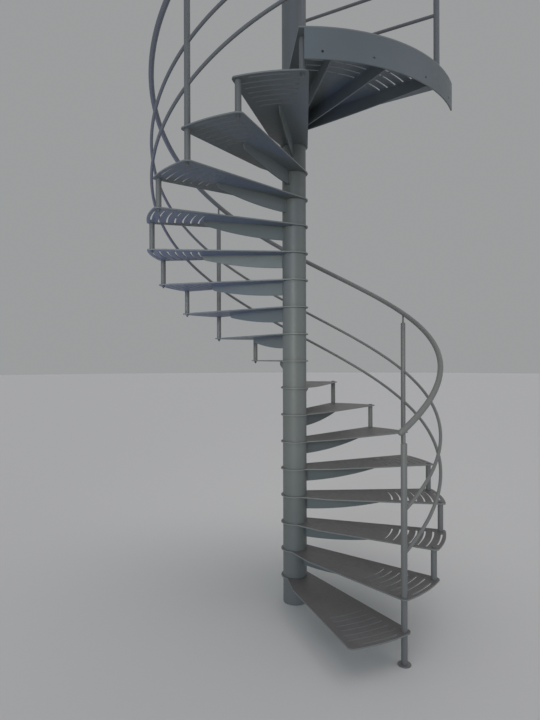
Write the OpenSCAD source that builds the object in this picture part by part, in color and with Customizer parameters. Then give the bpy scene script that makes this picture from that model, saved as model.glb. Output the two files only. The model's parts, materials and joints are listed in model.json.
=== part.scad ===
// Spiral staircase of painted steel plate: laser-cut treads on a central column,
// tied to each other at the rim, with a tube handrail and two rods that follow the helix.
// Millimetres. Z runs up the column from the floor, and the stair turns counter-clockwise
// going up, seen from above.

/* [Stair] */
// Height from one tread's top to the next
rise = 180; // [174:1:186]
// Number of treads below the landing
tread_count = 17; // [15:1:18]
// Turn from one tread to the next, in degrees
step_angle = 20.28; // [19.8:0.04:20.6]
// Direction of the first post, in degrees from +X
start_angle = -52.36; // [-180:0.01:180]
// Outer radius of the treads
tread_r = 970; // [960:1:985]

/* [Column] */
// Outer diameter of the column's sleeves
sleeve_d = 159; // [155:1:161]
// Wall of the sleeves
sleeve_wall = 5; // [4:0.5:6]
// Diameter of the pole inside the sleeves
pole_d = 76; // [72:1:80]
// Diameter of the ring at the inner end of each tread
ring_d = 185; // [180:1:190]
// Thickness of the plate that the pole stands on
base_t = 12; // [10:1:16]
// Height of the column above the landing
column_top_h = 1131; // [1120:1:1150]

/* [Treads] */
// Thickness of the plate that treads and gussets are cut from
plate_t = 8; // [6:1:10]
// Distance from the column's axis to the line of the front edge
front_offset = 112; // [106:1:116]
// Direction of the front edge, in degrees from the rear pillar
front_dir = -15.3; // [-15.8:0.1:-14.8]
// Rounding of the front corner
front_corner_r = 25; // [20:1:28]
// Rounding of the rear corner, round the pillar
rear_corner_r = 32; // [30:1:34]
// Width of the arc-shaped slots
slot_w = 11; // [8:0.5:14]
// Radius of the innermost slot
slot_first_r = 640; // [630:1:650]
// Distance from one slot to the next
slot_pitch = 50.6; // [48:0.1:51]
// Reach of the gusset below the tread, from the column's axis
gusset_r = 621; // [600:1:640]
// Depth of the gusset at the column, from the tread's top
gusset_depth = 97; // [90:1:105]
// Depth of the gusset at its nose
gusset_tip = 44; // [40:1:48]

/* [Railing] */
// Diameter of the posts, pillars and handrail
tube_d = 34; // [32:1:36]
// Diameter of the two rods below the handrail
rod_d = 20; // [18:1:22]
// Height of the handrail's centre above the tread at its own post
handrail_h = 1071; // [1060:1:1085]
// Height of the upper rod above the same tread
upper_rod_h = 640; // [620:1:660]
// Height of the lower rod above the same tread
lower_rod_h = 412; // [400:1:430]
// Height from a post's shoulder to the handrail's centre
pin_h = 70; // [60:1:80]
// Diameter of the pin between a post and the handrail
pin_d = 14; // [12:1:16]
// Steps from one long post to the next
post_every = 5; // [5:1:6]

/* [Landing] */
// Width of the landing, in treads
landing_steps = 3; // [2:1:3]
// Reach of the landing past the treads' rim, out to the floor's edge
landing_over = 50; // [40:1:60]
// Depth of the flange that is bolted to the floor's edge
flange_depth = 150; // [130:1:160]

/* [Hidden] */
$fn = 96;
landing_n = tread_count + 1;
pillar_r = tread_r - rear_corner_r;
landing_r = tread_r + landing_over;
// Where the front edge bends towards the column, along its own direction
front_bend = 230;
hub_angle = -73;
// The slots run from near the front edge to near the pillar, and the last one lies
// between two pillars.
slot_count = 7;
slot_front_turn = 5.1;
slot_rear_turn = 1.2;
last_slot_out = 5;
last_slot_turn = 3.7;
slot_span = [front_dir - slot_front_turn, -slot_rear_turn];
last_slot_span = [last_slot_turn - step_angle, -last_slot_turn];
// The gusset's underside is level near the column, then rises to a round nose.
gusset_level = 100;
nose_r = 30;
nose_from = -78;
nose_step = 13;
under_steps = 8;
pole_gap = 0.2;
post_gap = 0.2;
rod_gap = 0.4;
cut = 1;
// How far outlines run past the circle that cuts them
beyond = 1.3;
// How far a rounding laps over the edges that it joins
blend = 0.4;
hub_lap = 2;
stud_d = 12;
stud_hole_d = stud_d + 1;
nut_across = 19;
nut_t = 10;
stud_end = 8;
cap_d = 25;
cap_t = 6;
cap_lid = 2;
cap_edge = 1.5;
foot_d = 72;
foot_t = 5;
foot_edge = 1.5;
post_dome = 8;
// Turn from one facet of a rounded edge to the next
edge_turn = 22.5;
base_gap = 1.5;
base_d = sleeve_d - 2 * (sleeve_wall + base_gap);
anchor_ring_d = 112;
anchor_hole_d = 13;
anchor_count = 4;
lid_over = 4.5;
lid_t = 9;
lid_edge = 3;
lid_crown = 3;
rod_seat = 8;
rail_over = 26;
ring_step = 5;
rail_sides = 16;
rod_sides = 12;
end_tips = [15, 45, 70];
flange_turn = 1.5;
flange_hole_d = 14;
flange_hole_turn = 5;
flange_hole_share = 0.75;
rib_tip = 70;

post_h = handrail_h - pin_h;

// The helix climbs one rise in one step
climb = rise / step_angle;
rail_slope = atan(climb * 180 / PI / pillar_r);

function at(r, a) = [r * cos(a), r * sin(a)];
function pillar_angle(n) = start_angle + (n - 1) * step_angle;
function two_digits(n) = n < 10 ? str("0", n) : str(n);
function tread_name(n) = str("tread_", two_digits(n));
function post_name(n) = n == 1 ? "start_post" : str("post_", two_digits(n));
function is_long(n) = n == 1 || n % post_every == 0 || n == tread_count;
long_posts = [for (n = [1 : tread_count]) if (is_long(n)) n];
short_pillars = [for (n = [1 : tread_count]) if (!is_long(n)) n];

tread_paint = "#6c7370";
column_paint = "#6a726e";
rail_paint = "#707672";
fixing_paint = "#5b615f";

// Places what it holds at the pillar that stands on tread n
module at_pillar(n) {
    rotate([0, 0, pillar_angle(n)]) translate([pillar_r, 0, n * rise]) children();
}

// Turns what it holds to tread n, with its top face at the height of that tread
module at_level(n) {
    rotate([0, 0, pillar_angle(n)]) translate([0, 0, n * rise]) children();
}

// Turns a cylinder along the climbing helix, seen from a pillar
module along_helix() {
    rotate([rail_slope - 90, 0, 0]) children();
}

// Outline of a tread
// The front edge is a straight line that passes the axis at front_offset.
front_unit = at(1, front_dir);
front_normal = at(1, front_dir - 90);
front_knee = front_offset * front_normal + front_bend * front_unit;
front_hub = at(ring_d / 2 - hub_lap, hub_angle);

// The rear edge runs beside the ring and the rear corner's circle.
rear_tilt = asin((ring_d / 2 - rear_corner_r) / pillar_r);
rear_hub = at(ring_d / 2 - blend, 90 - rear_tilt);
rear_end = at(pillar_r, 0) + at(rear_corner_r - blend, 90 - rear_tilt);

// The front corner's circle touches the front edge and the rim.
corner_off = front_offset - front_corner_r;
corner_along = sqrt(pow(tread_r - front_corner_r, 2) - pow(corner_off, 2));
corner = corner_off * front_normal + corner_along * front_unit;
corner_angle = atan2(corner[1], corner[0]);

module tread_outline() {
    intersection() {
        circle(r = tread_r);
        union() {
            circle(d = ring_d);
            polygon([
                [0, 0], front_hub, front_knee,
                front_offset * front_normal + corner_along * front_unit,
                corner, at(beyond * tread_r, corner_angle), at(beyond * tread_r, 0),
                at(pillar_r, 0), rear_end, rear_hub
            ]);
            translate(corner) circle(r = front_corner_r + blend);
            translate(at(pillar_r, 0)) circle(r = rear_corner_r + blend);
        }
    }
}

// One arc-shaped slot with round ends
module slot(r, from, to) {
    deep = plate_t + 2 * cut;
    rotate([0, 0, from]) rotate_extrude(angle = to - from)
        translate([r - slot_w / 2, -plate_t - cut]) square([slot_w, deep]);
    for (a = [from, to])
        rotate([0, 0, a]) translate([r, 0, -plate_t - cut]) cylinder(d = slot_w, h = deep);
}

// The seven slots of one tread
module slots() {
    for (i = [0 : slot_count - 2]) slot(slot_first_r + i * slot_pitch, slot_span[0], slot_span[1]);
    slot(pillar_r + last_slot_out, last_slot_span[0], last_slot_span[1]);
}

module pole_hole() {
    translate([0, 0, -plate_t - cut]) cylinder(d = pole_d + 2 * pole_gap, h = plate_t + 2 * cut);
}

// Hole at the rim for a stud, or for a long post that passes through
module rim_hole(angle, d) {
    rotate([0, 0, angle]) translate([pillar_r, 0, -plate_t - cut])
        cylinder(d = d, h = plate_t + 2 * cut);
}

post_hole_d = tube_d + 2 * post_gap;

module tread(n) {
    color(tread_paint) at_level(n) difference() {
        translate([0, 0, -plate_t]) linear_extrude(plate_t) tread_outline();
        pole_hole();
        slots();
        rim_hole(0, n == 1 ? post_hole_d : stud_hole_d);
        if (n > 1) rim_hole(-step_angle, is_long(n - 1) ? post_hole_d : stud_hole_d);
    }
}

// Side view of a gusset: x is the distance from the axis, y the height above the tread's top
function nose(reach, tip, a) = [reach - nose_r, nose_r - tip] + at(nose_r, a);
function underside(reach, tip) = let (end = nose(reach, tip, nose_from)) [
    for (s = [0 : 1 / under_steps : 1 - 1 / under_steps])
        [gusset_level + s * (end[0] - gusset_level), s * s * (end[1] + gusset_depth) - gusset_depth]
];

module gusset_side(reach, tip) {
    polygon(concat(
        [[0, -plate_t], [0, -gusset_depth]],
        underside(reach, tip),
        [for (a = [nose_from : nose_step : 0]) nose(reach, tip, a)],
        [[reach, -plate_t]]
    ));
}

// Upright radial plate that is welded under a tread and against the column
module gusset(reach, tip) {
    difference() {
        translate([0, plate_t / 2, 0]) rotate([90, 0, 0]) linear_extrude(plate_t)
            gusset_side(reach, tip);
        translate([0, 0, -2 * gusset_depth]) cylinder(d = sleeve_d, h = 3 * gusset_depth);
    }
}

module tread_gussets() {
    color(tread_paint) for (n = [1 : tread_count])
        at_level(n) rotate([0, 0, -step_angle / 2]) gusset(gusset_r, gusset_tip);
}

// Round bar or disc whose upper edge is rounded
module rounded(d, h, edge) {
    rotate_extrude() polygon(concat(
        [[0, 0], [d / 2, 0]],
        [for (a = [0 : edge_turn : 90]) [d / 2 - edge, h - edge] + at(edge, a)],
        [[0, h]]
    ));
}

// Column: pole on its base plate, with sleeves that clamp the tread rings
module base_plate() {
    color(column_paint) difference() {
        cylinder(d = base_d, h = base_t);
        for (i = [0 : anchor_count - 1])
            rotate([0, 0, 45 + 360 / anchor_count * i]) translate([anchor_ring_d / 2, 0, -cut])
                cylinder(d = anchor_hole_d, h = base_t + 2 * cut);
    }
}

module centre_pole() {
    color(column_paint) translate([0, 0, base_t])
        cylinder(d = pole_d, h = landing_n * rise + column_top_h - base_t);
}

module sleeve(h) {
    difference() {
        cylinder(d = sleeve_d, h = h);
        translate([0, 0, -cut]) cylinder(d = sleeve_d - 2 * sleeve_wall, h = h + 2 * cut);
    }
}

module column_sleeves() {
    color(column_paint) for (k = [0 : landing_n - 1])
        translate([0, 0, k * rise]) sleeve(rise - plate_t);
}

module column_top() {
    color(column_paint) translate([0, 0, landing_n * rise]) sleeve(column_top_h);
}

module column_cap() {
    lid_r = sleeve_d / 2 + lid_over;
    color(column_paint) translate([0, 0, landing_n * rise + column_top_h]) rotate_extrude() polygon([
        [0, 0], [lid_r, 0], [lid_r, lid_t - lid_edge], [lid_r - lid_edge, lid_t], [0, lid_t + lid_crown]
    ]);
}

// Landing: a plate three treads wide, with ribs that run out to the flange
far_angle = (landing_steps - 1) * step_angle;
far_unit = at(1, far_angle - rear_tilt);
far_hub = at(ring_d / 2 - blend, far_angle + 90 - rear_tilt);

module landing_outline(r) {
    circle(d = ring_d);
    intersection() {
        circle(r = r);
        polygon(concat(
            [[0, 0], front_hub, front_knee, front_offset * front_normal + beyond * r * front_unit],
            [for (share = [0 : 0.5 : 1]) at(beyond * r, share * far_angle)],
            [far_hub + beyond * r * far_unit, far_hub]
        ));
    }
}

module landing_plate() {
    color(tread_paint) at_level(landing_n) difference() {
        translate([0, 0, -plate_t]) linear_extrude(plate_t) landing_outline(landing_r);
        pole_hole();
        for (k = [0 : landing_steps - 1]) rotate([0, 0, k * step_angle]) slots();
        rim_hole(-step_angle, post_hole_d);
        rim_hole(far_angle, stud_hole_d);
    }
}

module landing_ribs() {
    color(tread_paint) at_level(landing_n) for (k = [0 : landing_steps - 1])
        rotate([0, 0, (k - 0.5) * step_angle]) intersection() {
            gusset(landing_r + nose_r, rib_tip);
            translate([0, 0, -2 * gusset_depth]) cylinder(r = landing_r - plate_t, h = 3 * gusset_depth);
        }
}

// The flange follows the rim, with a hole near each end and one at each pillar between
flange_from = front_dir - asin(front_offset / landing_r) + flange_turn;
flange_to = far_angle + flange_turn;
flange_holes = concat(
    [flange_from + flange_hole_turn],
    [for (k = [0 : landing_steps - 2]) k * step_angle],
    [flange_to - flange_hole_turn]
);

module landing_flange() {
    color(tread_paint) at_level(landing_n) difference() {
        rotate([0, 0, flange_from]) rotate_extrude(angle = flange_to - flange_from, $fn = 240)
            translate([landing_r - plate_t, -plate_t - flange_depth]) square([plate_t, flange_depth]);
        for (a = flange_holes)
            rotate([0, 0, a])
                translate([landing_r - 2 * plate_t, 0, -plate_t - flange_depth * flange_hole_share])
                rotate([0, 90, 0]) cylinder(d = flange_hole_d, h = 3 * plate_t);
    }
}

// Railing
// Bore for a rod, which goes right through a post or only into one side of it
module rod_bore(h, from, to) {
    translate([0, 0, h]) along_helix() translate([0, 0, from])
        cylinder(d = rod_d + 2 * rod_gap, h = to - from);
}

module foot_stud() {
    translate([0, 0, -plate_t - nut_t - stud_end]) cylinder(d = stud_d, h = plate_t + nut_t + stud_end);
}

// Long post at pillar n: the first stands on the floor, the others on their own tread
module long_post(n) {
    from = n == 1 ? -tube_d : -rod_seat;
    bore_from = n == 1 ? rod_seat : -tube_d;
    bore_to = n == tread_count ? -rod_seat : tube_d;
    low = n == 1 ? foot_t - rise : 0;
    color(rail_paint) at_pillar(n) {
        difference() {
            translate([0, 0, low]) rounded(tube_d, post_h - low, post_dome);
            for (h = [upper_rod_h, lower_rod_h]) rod_bore(h, bore_from, bore_to);
        }
        if (n > 1) foot_stud();
    }
}

module start_foot() {
    color(rail_paint) at_pillar(1) translate([0, 0, -rise]) rounded(foot_d, foot_t, foot_edge);
}

// Short pillars between one tread and the next, with a stud at each end
module step_pillars() {
    color(rail_paint) for (n = short_pillars) at_pillar(n) {
        foot_stud();
        cylinder(d = tube_d, h = rise - plate_t);
        cylinder(d = stud_d, h = rise + cap_t - cap_lid);
    }
}

module nut() {
    translate([0, 0, -plate_t - nut_t]) difference() {
        cylinder(d = nut_across / cos(30), h = nut_t, $fn = 6);
        translate([0, 0, -cut]) cylinder(d = stud_d, h = nut_t + 2 * cut);
    }
}

module pillar_nuts() {
    color(fixing_paint) {
        for (n = [2 : tread_count]) at_pillar(n) nut();
        at_level(landing_n) rotate([0, 0, far_angle]) translate([pillar_r, 0, 0]) nut();
    }
}

// Low round cap nut on top of the next tread
module pillar_caps() {
    color(fixing_paint) for (n = short_pillars) at_pillar(n) translate([0, 0, rise]) difference() {
        rounded(cap_d, cap_t, cap_edge);
        translate([0, 0, -cut]) cylinder(d = stud_d, h = cap_t - cap_lid + cut);
    }
}

// Pin from a post's shoulder up to the underside of the handrail
module rail_pins() {
    color(rail_paint) for (n = long_posts) at_pillar(n) difference() {
        translate([0, 0, post_h]) cylinder(d = pin_d, h = pin_h);
        translate([0, 0, handrail_h]) along_helix() cylinder(d = tube_d, h = 2 * tube_d, center = true);
    }
}

// Round bar along the helix: each station is [angle, share of the radius]
function helix_point(a, h) = concat(at(pillar_r, a), [h + climb * (a - start_angle) + rise]);
function helix_ring(a, h, r, sides) = [
    for (i = [0 : sides - 1]) let (
        t = 360 / sides * i,
        side = [cos(a), sin(a), 0],
        up = [sin(a) * sin(rail_slope), -cos(a) * sin(rail_slope), cos(rail_slope)]
    ) helix_point(a, h) + r * (cos(t) * side + sin(t) * up)
];

module helix_bar(stations, h, r, sides) {
    last = len(stations) - 1;
    points = [for (s = stations) each helix_ring(s[0], h, r * s[1], sides)];
    walls = [for (k = [0 : last - 1]) for (i = [0 : sides - 1])
        let (j = (i + 1) % sides, a = k * sides, b = a + sides)
        each [[a + i, a + j, b + j], [a + i, b + j, b + i]]];
    ends = [[for (i = [sides - 1 : -1 : 0]) i], [for (i = [0 : sides - 1]) last * sides + i]];
    polyhedron(points, concat(walls, ends), convexity = 10);
}

// Angle on the helix that belongs to a length along it
function turn_of(length) = length * cos(rail_slope) / pillar_r * 180 / PI;

// Even stations from one angle to another
function even_stations(from, to) = let (count = ceil((to - from) / ring_step))
    [for (k = [0 : count]) [from + (to - from) * k / count, 1]];

// The same with a rounded end at both sides
function round_stations(from, to, r) = let (last = len(end_tips) - 1) concat(
    [for (p = [last : -1 : 0]) [from - turn_of(r * sin(end_tips[p])), cos(end_tips[p])]],
    even_stations(from, to),
    [for (p = [0 : last]) [to + turn_of(r * sin(end_tips[p])), cos(end_tips[p])]]
);

first_a = pillar_angle(1);
last_a = pillar_angle(tread_count);

module handrail() {
    over = turn_of(rail_over);
    stations = round_stations(first_a - over, last_a + over, tube_d / 2);
    color(rail_paint) helix_bar(stations, handrail_h, tube_d / 2, rail_sides);
}

module helix_rod(h) {
    seat = turn_of(rod_seat);
    color(rail_paint)
        helix_bar(even_stations(first_a + seat, last_a - seat), h, rod_d / 2, rod_sides);
}

// Guard on the landing's far edge, from the column to a post at the rim
module at_guard() {
    at_level(landing_n) rotate([0, 0, far_angle]) children();
}

module landing_post() {
    color(rail_paint) at_guard() translate([pillar_r, 0, 0]) {
        difference() {
            rounded(tube_d, post_h, post_dome);
            for (h = [upper_rod_h, lower_rod_h]) translate([-tube_d, 0, h]) rotate([0, 90, 0])
                cylinder(d = rod_d + 2 * rod_gap, h = tube_d - rod_seat);
        }
        foot_stud();
    }
}

module landing_pin() {
    color(rail_paint) at_guard() translate([pillar_r, 0, 0]) difference() {
        translate([0, 0, post_h]) cylinder(d = pin_d, h = pin_h);
        translate([-tube_d, 0, handrail_h]) rotate([0, 90, 0]) cylinder(d = tube_d, h = 2 * tube_d);
    }
}

module column_clearance() {
    cylinder(d = sleeve_d, h = column_top_h);
}

module landing_rail() {
    color(rail_paint) at_guard() difference() {
        union() {
            translate([0, 0, handrail_h]) rotate([0, 90, 0]) cylinder(d = tube_d, h = pillar_r + rail_over);
            translate([pillar_r + rail_over, 0, handrail_h]) sphere(d = tube_d);
        }
        column_clearance();
    }
}

module landing_rods() {
    color(rail_paint) at_guard() difference() {
        for (h = [upper_rod_h, lower_rod_h]) translate([0, 0, h]) rotate([0, 90, 0])
            cylinder(d = rod_d, h = pillar_r - rod_seat);
        column_clearance();
    }
}

base_plate();
centre_pole();
column_sleeves();
column_top();
column_cap();
for (n = [1 : tread_count]) tread(n);
tread_gussets();
landing_plate();
landing_ribs();
landing_flange();
for (n = long_posts) long_post(n);
start_foot();
step_pillars();
pillar_nuts();
pillar_caps();
rail_pins();
handrail();
helix_rod(upper_rod_h);  // upper_rod
helix_rod(lower_rod_h);  // lower_rod
landing_post();
landing_pin();
landing_rail();
landing_rods();
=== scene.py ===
# %% [markdown]
# # A spiral staircase in painted steel
# This notebook dresses a stair whose construction is already fixed. Treads of steel plate are
# clamped between the sleeves of a column, pillars tie them together at the rim, and a handrail
# and two rods follow the helix. Every piece made here lies where the construction has it, so
# the work is about crisp edges, round tubes, the paint and the light.

# %% Load the construction
import json
import math
import bmesh
import bpy
from mathutils import Matrix, Vector


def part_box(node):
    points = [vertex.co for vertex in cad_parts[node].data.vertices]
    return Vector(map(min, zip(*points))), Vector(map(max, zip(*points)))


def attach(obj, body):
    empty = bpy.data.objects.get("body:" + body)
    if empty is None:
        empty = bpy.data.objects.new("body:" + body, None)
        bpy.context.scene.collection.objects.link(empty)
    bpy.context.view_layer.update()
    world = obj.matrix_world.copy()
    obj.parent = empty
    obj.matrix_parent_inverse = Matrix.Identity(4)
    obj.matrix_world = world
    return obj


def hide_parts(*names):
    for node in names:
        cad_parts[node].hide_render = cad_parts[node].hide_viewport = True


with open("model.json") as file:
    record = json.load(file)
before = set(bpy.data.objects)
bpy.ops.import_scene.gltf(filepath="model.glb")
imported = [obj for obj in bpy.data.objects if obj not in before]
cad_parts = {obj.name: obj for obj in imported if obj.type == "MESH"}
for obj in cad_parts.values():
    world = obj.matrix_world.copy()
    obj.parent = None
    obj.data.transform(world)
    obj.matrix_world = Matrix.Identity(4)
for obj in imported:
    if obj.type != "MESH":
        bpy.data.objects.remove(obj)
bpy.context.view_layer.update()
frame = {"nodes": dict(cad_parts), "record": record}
print("nodes in the construction:", len(frame["nodes"]))

# %% [markdown]
# ## The camera
# The photograph was taken at eye height, about 3.6 m from the column, with a level lens. A
# level lens keeps every upright line upright, which is why the column looks straight although
# the picture shows it from its foot to far above the lens. The place and the small turns of
# the camera were worked out from some forty points of the treads, posts and sleeves, because
# one rule says where each of them lies.

# %% Camera
CAMERA_AT = Vector((-0.0372, -3.6068, 1.6309))
CAMERA_TURN = math.radians(-2.037)
CAMERA_TILT = math.radians(-0.123)
CAMERA_ROLL = math.radians(-0.166)
LENS_MM = 26.70
SEES_FROM = 0.05


def add_object(name, data):
    """A new object in the scene."""
    thing = bpy.data.objects.new(name, data)
    bpy.context.scene.collection.objects.link(thing)
    return thing


def camera_axes():
    """Right, up and back of a camera that looks along +Y, after its turn, tilt and roll."""
    forward = Vector((
        math.sin(CAMERA_TURN) * math.cos(CAMERA_TILT),
        math.cos(CAMERA_TURN) * math.cos(CAMERA_TILT),
        math.sin(CAMERA_TILT),
    ))
    level = Vector((math.cos(CAMERA_TURN), -math.sin(CAMERA_TURN), 0.0))
    upright = level.cross(forward)
    right = level * math.cos(CAMERA_ROLL) + upright * math.sin(CAMERA_ROLL)
    up = upright * math.cos(CAMERA_ROLL) - level * math.sin(CAMERA_ROLL)
    return right, up, -forward


def make_camera():
    data = bpy.data.cameras.new("camera")
    data.lens = LENS_MM
    data.clip_start = SEES_FROM
    camera = add_object("camera", data)
    turn = Matrix(camera_axes()).transposed().to_4x4()
    camera.matrix_world = Matrix.Translation(CAMERA_AT) @ turn
    bpy.context.scene.camera = camera
    return camera


camera = make_camera()
print("camera:", camera.data.lens, "mm lens,", round(CAMERA_AT.z, 2), "m above the column's foot")

# %% [markdown]
# ## Floor, light and air
# The stair stands on a plain pale floor. In the photograph its upright faces that look at the
# camera are the brightest, the tops of the treads are darker and their undersides darkest.
# The column is brightest at half its height and falls off to both ends. A wide soft box
# behind the camera, with a narrow warm beam, gives that order and that falloff. A cool
# distant lamp fills in from the same side, and a small blue box low on the left colours the
# undersides there. Lamps from above, from the right and from behind are soft and dim, and an
# even world fills the rest.

# %% Floor
FLOOR_R = 60.0
FLOOR_SIDES = 120
FLOOR_COLOUR = (0.68, 0.70, 0.69, 1.0)
FLOOR_ROUGHNESS = 0.8
FULL_TURN = 2 * math.pi


def make_floor():
    """A disc so wide that its far edge looks like a level horizon from every side."""
    turns = [FULL_TURN * i / FLOOR_SIDES for i in range(FLOOR_SIDES)]
    rim = [(FLOOR_R * math.cos(turn), FLOOR_R * math.sin(turn), 0.0) for turn in turns]
    mesh = bpy.data.meshes.new("floor")
    mesh.from_pydata(rim, [], [range(FLOOR_SIDES)])
    material = bpy.data.materials.new("pale_floor")
    material.use_nodes = True
    shader = material.node_tree.nodes["Principled BSDF"]
    shader.inputs["Base Color"].default_value = FLOOR_COLOUR
    shader.inputs["Roughness"].default_value = FLOOR_ROUGHNESS
    mesh.materials.append(material)
    floor = add_object("floor", mesh)
    return floor


floor = make_floor()
print("floor:", round(floor.dimensions.x), "m wide")

# %% Kinds of lamp
def hang(data, colour, back):
    """Puts a lamp in the scene, turned so that it shines away from the direction `back`."""
    data.color = colour
    lamp = add_object(data.name, data)
    lamp.rotation_euler = Vector(back).to_track_quat("Z", "Y").to_euler()
    return lamp


def distant_lamp(name, comes_from, strength, spread, colour):
    """Light that arrives evenly from one direction, with a wide soft edge in degrees."""
    data = bpy.data.lights.new(name, "SUN")
    data.energy = strength
    data.angle = math.radians(spread)
    hang(data, colour, comes_from)


def soft_box(name, place, aim, size, power, spread, colour):
    """A glowing rectangle turned to the point that it lights, with a beam `spread` degrees wide."""
    data = bpy.data.lights.new(name, "AREA")
    data.shape = "RECTANGLE"
    data.size, data.size_y = size
    data.energy = power
    data.spread = math.radians(spread)
    lamp = hang(data, colour, Vector(place) - Vector(aim))
    lamp.location = place
    lamp.visible_camera = False


# %% Lamps and world
WORLD_COLOUR = (0.97, 0.99, 1.0, 1.0)
WORLD_STRENGTH = 0.34


def make_world():
    world = bpy.data.worlds.new("studio")
    world.use_nodes = True
    background = world.node_tree.nodes["Background"]
    background.inputs["Color"].default_value = WORLD_COLOUR
    background.inputs["Strength"].default_value = WORLD_STRENGTH
    bpy.context.scene.world = world


make_world()
soft_box(
    "beam", place=(-1.2, -6.0, 2.4), aim=(0, 0, 1.55), size=(4.0, 1.2),
    power=9.4, spread=36, colour=(1.0, 0.98, 0.74),
)
soft_box(
    "low_light", place=(-1.7, -0.4, 0.15), aim=(-0.85, 0.25, 2.7), size=(0.8, 0.5),
    power=3.1, spread=60, colour=(0.26, 0.36, 1.0),
)
distant_lamp(
    "fill_light", comes_from=(-0.20, -1.0, 0.13), strength=0.645, spread=40, colour=(0.44, 0.62, 1.0),
)
distant_lamp(
    "side_light", comes_from=(1.0, -0.25, 0.25), strength=0.24, spread=50, colour=(0.90, 0.86, 1.0),
)
distant_lamp(
    "top_light", comes_from=(0.12, -0.10, 1.0), strength=0.56, spread=60, colour=(1.0, 0.87, 0.91),
)
distant_lamp(
    "back_light", comes_from=(0.3, 1.0, 0.35), strength=0.14, spread=60, colour=(1.0, 0.92, 0.86),
)
bpy.context.scene.view_settings.view_transform = "Standard"

# %% [markdown]
# ## The sizes of the stair
# Most sizes are read back from the construction, so that the pieces made here fit it. A few,
# such as the turn from one tread to the next, can't be read from a box and are repeated.
# Lengths are in metres.

# %% Sizes
TREAD_COUNT = 17
POST_EVERY = 5
STEP_TURN = math.radians(20.28)
START_ANGLE = math.radians(-52.36)


def top_of(node):
    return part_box(node)[1].z


def width_of(node):
    low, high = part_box(node)
    return high.x - low.x


RISE = top_of("tread_02") - top_of("tread_01")
PLATE_T = top_of("tread_01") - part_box("tread_01")[0].z
SLEEVE_R = width_of("column_top") / 2
LID_R = width_of("column_cap") / 2
FOOT_R = width_of("start_foot") / 2
FOOT_T = top_of("start_foot")
TUBE_R = width_of("start_post") / 2
POST_H = top_of("landing_post") - top_of("landing_plate")
LANDING_Z = top_of("landing_plate")
COLUMN_TOP_Z = top_of("column_top")
foot_low, foot_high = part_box("start_foot")
foot_centre = (foot_low + foot_high) / 2
PILLAR_R = math.hypot(foot_centre.x, foot_centre.y)
print("rise", round(RISE, 4), "pillars at radius", round(PILLAR_R, 4), "tube radius", round(TUBE_R, 4))

# %% [markdown]
# ## Helpers for meshes
# Two shapes cover nearly every piece. A turned piece is an outline spun round an axis, as on a
# lathe: sleeves, posts, nuts and caps. A cut piece is a flat outline with holes, as a laser
# cuts it from plate: treads, gussets and ribs. Both get narrow rounded edges, because a
# painted edge is never perfectly sharp and its highlight is what makes steel look like steel.

# %% Points
AXIS = Vector((0, 0))
RIGHT_ANGLE = math.pi / 2


def polar(radius, angle):
    """Point at a radius and an angle, flat."""
    return Vector((radius * math.cos(angle), radius * math.sin(angle)))


def arc(centre, radius, start, end, count):
    """Points along an arc, both ends included."""
    return [centre + polar(radius, start + (end - start) * i / count) for i in range(count + 1)]


def rounded_edge(radius, top, edge_r, turn, count):
    """Outline of a rounded rim as (radius, height): from the wall up and in towards the axis."""
    return [tuple(p) for p in arc(Vector((radius - edge_r, top - edge_r)), edge_r, 0, turn, count)]


print("a quarter circle in 8 steps:", len(arc(AXIS, 1.0, 0, RIGHT_ANGLE, count=8)), "points")

# %% Clean meshes
MERGE_WITHIN = 2e-6
DROP_BELOW = 1e-6


def shade(mesh, sharp):
    """Shades a mesh smooth, but for edges sharper than an angle in degrees."""
    mesh.polygons.foreach_set("use_smooth", [True] * len(mesh.polygons))
    mesh.set_sharp_from_angle(angle=math.radians(sharp))


def tidy_mesh(mesh, sharp):
    """Joins doubled points, turns every face outwards and shades the mesh."""
    shape = bmesh.new()
    shape.from_mesh(mesh)
    bmesh.ops.remove_doubles(shape, verts=shape.verts, dist=MERGE_WITHIN)
    bmesh.ops.dissolve_degenerate(shape, edges=shape.edges, dist=DROP_BELOW)
    bmesh.ops.recalc_face_normals(shape, faces=shape.faces)
    shape.to_mesh(mesh)
    shape.free()
    shade(mesh, sharp)
    return mesh


def placed(mesh, matrix):
    mesh.transform(matrix)
    return mesh


def joined(meshes):
    """Several meshes as one."""
    shape = bmesh.new()
    for mesh in meshes:
        shape.from_mesh(mesh)
    result = bpy.data.meshes.new("joined")
    shape.to_mesh(result)
    shape.free()
    return result


# %% Turned pieces
ROUND_SHARP = 31


def spun(rings, closed, sharp=ROUND_SHARP):
    """Joins outlines of (radius, height), one for each angle round the upright axis."""
    sides = len(rings)
    count = len(rings[0])
    points = []
    for i, ring in enumerate(rings):
        angle = FULL_TURN * i / sides
        points += [(r * math.cos(angle), r * math.sin(angle), z) for r, z in ring]
    faces = []
    for i in range(sides):
        here = i * count
        there = (i + 1) % sides * count
        for k in range(count if closed else count - 1):
            after = (k + 1) % count
            faces.append((here + k, there + k, there + after, here + after))
    mesh = bpy.data.meshes.new("spun")
    mesh.from_pydata(points, [], faces)
    return tidy_mesh(mesh, sharp)


def turned(outline, sides, closed=False):
    """Spins one outline round the axis. A closed outline makes a hollow ring."""
    return spun([outline] * sides, closed)


# %% Cut pieces
EDGE_R = 0.0007
PLATE_SHARP = 20


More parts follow.
